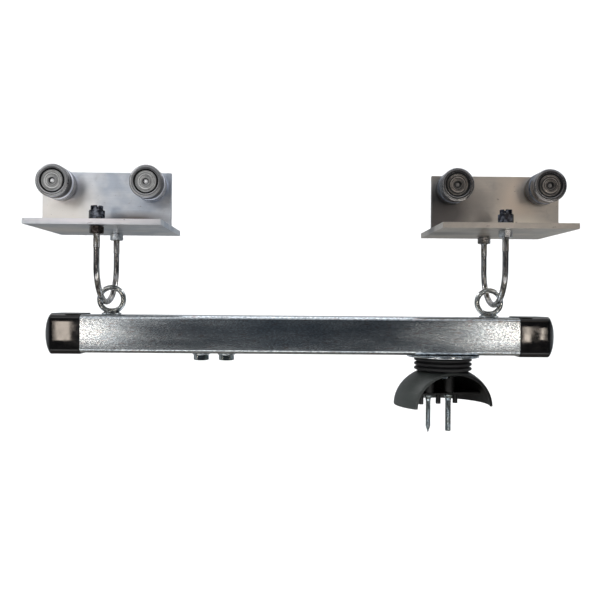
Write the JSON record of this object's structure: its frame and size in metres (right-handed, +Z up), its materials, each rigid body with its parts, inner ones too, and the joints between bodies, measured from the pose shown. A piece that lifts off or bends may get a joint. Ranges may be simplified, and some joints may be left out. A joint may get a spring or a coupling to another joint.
{
  "type": "sliding door hanger with roller trolleys",
  "caption": "Square beam with domed end caps, hung by eye bolts and U-bolts from roller trolleys that run on a track, with a swivelling domed holder under it.",
  "frame": {"origin": "on the line that the rollers run on, midway between the two trolleys, in the plane of their webs", "axes": "+X along the beam towards the domed holder's end, +Y away from the rollers, +Z up"},
  "size_m": [0.6164, 0.127, 0.311],
  "materials": {
    "aluminium_bar": "extruded bar, lightly scratched and smudged",
    "roller_steel": "turned, concentric tool marks",
    "rubber": "matt",
    "dark_steel": "dark, oily",
    "zinc_tube": "zinc plated, mottled",
    "gloss_cap": "high gloss",
    "black_plastic": "satin, moulded",
    "black_oxide": "black oxide, rubbed and oily",
    "zinc_fastener": "bright zinc plate"
  },
  "bodies": {
    "left_trolley": {"left_t_bar": "aluminium_bar", "left_u_bolt": "zinc_fastener", "left_front_washer": "black_oxide", "left_front_upper_nut": "black_oxide", "left_front_lower_nut": "zinc_fastener", "left_rear_washer": "black_oxide", "left_rear_upper_nut": "black_oxide", "left_rear_lower_nut": "zinc_fastener", "left_outer_stud": "roller_steel", "left_outer_spacer": "dark_steel", "left_outer_seal": "rubber", "left_outer_axle_nut": "zinc_fastener", "left_inner_stud": "roller_steel", "left_inner_spacer": "dark_steel", "left_inner_seal": "rubber", "left_inner_axle_nut": "zinc_fastener"},
    "beam": {"square_tube": "zinc_tube", "left_end_cap": "gloss_cap", "right_end_cap": "gloss_cap", "left_eye_bolt": "zinc_fastener", "left_eye_nut": "zinc_fastener", "right_eye_bolt": "zinc_fastener", "right_eye_nut": "zinc_fastener", "left_load_bolt": "zinc_fastener", "left_load_bolt_washer": "zinc_fastener", "left_load_bolt_nut": "zinc_fastener", "right_load_bolt": "zinc_fastener", "right_load_bolt_washer": "zinc_fastener", "right_load_bolt_nut": "zinc_fastener", "backing_disc": "zinc_fastener", "ribbed_collar": "black_plastic", "pivot_bolt": "zinc_fastener"},
    "right_trolley": {"right_t_bar": "aluminium_bar", "right_u_bolt": "zinc_fastener", "right_front_washer": "black_oxide", "right_front_upper_nut": "black_oxide", "right_front_lower_nut": "zinc_fastener", "right_rear_washer": "black_oxide", "right_rear_upper_nut": "black_oxide", "right_rear_lower_nut": "zinc_fastener", "right_outer_stud": "roller_steel", "right_outer_spacer": "dark_steel", "right_outer_seal": "rubber", "right_outer_axle_nut": "zinc_fastener", "right_inner_stud": "roller_steel", "right_inner_spacer": "dark_steel", "right_inner_seal": "rubber", "right_inner_axle_nut": "zinc_fastener"},
    "holder": {"dome_shell": "black_plastic", "dome_shelf": "black_plastic", "pointed_screw": "zinc_fastener", "blunt_screw": "zinc_fastener"},
    "left_outer_front_roller": {"left_outer_front_roller": "roller_steel"},
    "left_outer_rear_roller": {"left_outer_rear_roller": "roller_steel"},
    "left_inner_front_roller": {"left_inner_front_roller": "roller_steel"},
    "left_inner_rear_roller": {"left_inner_rear_roller": "roller_steel"},
    "right_outer_front_roller": {"right_outer_front_roller": "roller_steel"},
    "right_outer_rear_roller": {"right_outer_rear_roller": "roller_steel"},
    "right_inner_front_roller": {"right_inner_front_roller": "roller_steel"},
    "right_inner_rear_roller": {"right_inner_rear_roller": "roller_steel"}
  },
  "joints": [
    {"name": "beam_swing", "type": "hinge", "parent": "left_trolley", "child": "beam", "pos_m": [-0.232, 0, -0.119], "axis": [1, 0, 0], "range_deg": [-40, 40]},
    {"name": "right_trolley_level", "type": "hinge", "parent": "beam", "child": "right_trolley", "pos_m": [0.232, 0, -0.119], "axis": [1, 0, 0], "range_deg": [-40, 40]},
    {"name": "holder_swivel", "type": "hinge", "parent": "beam", "child": "holder", "pos_m": [0.171, 0, -0.2], "axis": [0, 0, 1], "continuous": true},
    {"name": "left_outer_front_spin", "type": "hinge", "parent": "left_trolley", "child": "left_outer_front_roller", "pos_m": [-0.2853, -0.03, 0.01905], "axis": [0, 1, 0], "continuous": true},
    {"name": "left_outer_rear_spin", "type": "hinge", "parent": "left_trolley", "child": "left_outer_rear_roller", "pos_m": [-0.2853, -0.0133, 0.01905], "axis": [0, 1, 0], "continuous": true},
    {"name": "left_inner_front_spin", "type": "hinge", "parent": "left_trolley", "child": "left_inner_front_roller", "pos_m": [-0.1787, -0.03, 0.01905], "axis": [0, 1, 0], "continuous": true},
    {"name": "left_inner_rear_spin", "type": "hinge", "parent": "left_trolley", "child": "left_inner_rear_roller", "pos_m": [-0.1787, -0.0133, 0.01905], "axis": [0, 1, 0], "continuous": true},
    {"name": "right_outer_front_spin", "type": "hinge", "parent": "right_trolley", "child": "right_outer_front_roller", "pos_m": [0.2853, -0.03, 0.01905], "axis": [0, 1, 0], "continuous": true},
    {"name": "right_outer_rear_spin", "type": "hinge", "parent": "right_trolley", "child": "right_outer_rear_roller", "pos_m": [0.2853, -0.0133, 0.01905], "axis": [0, 1, 0], "continuous": true},
    {"name": "right_inner_front_spin", "type": "hinge", "parent": "right_trolley", "child": "right_inner_front_roller", "pos_m": [0.1787, -0.03, 0.01905], "axis": [0, 1, 0], "continuous": true},
    {"name": "right_inner_rear_spin", "type": "hinge", "parent": "right_trolley", "child": "right_inner_rear_roller", "pos_m": [0.1787, -0.0133, 0.01905], "axis": [0, 1, 0], "continuous": true}
  ],
  "couplings": [
    {"joint": "right_trolley_level", "follows": "beam_swing", "ratio": -1}
  ]
}
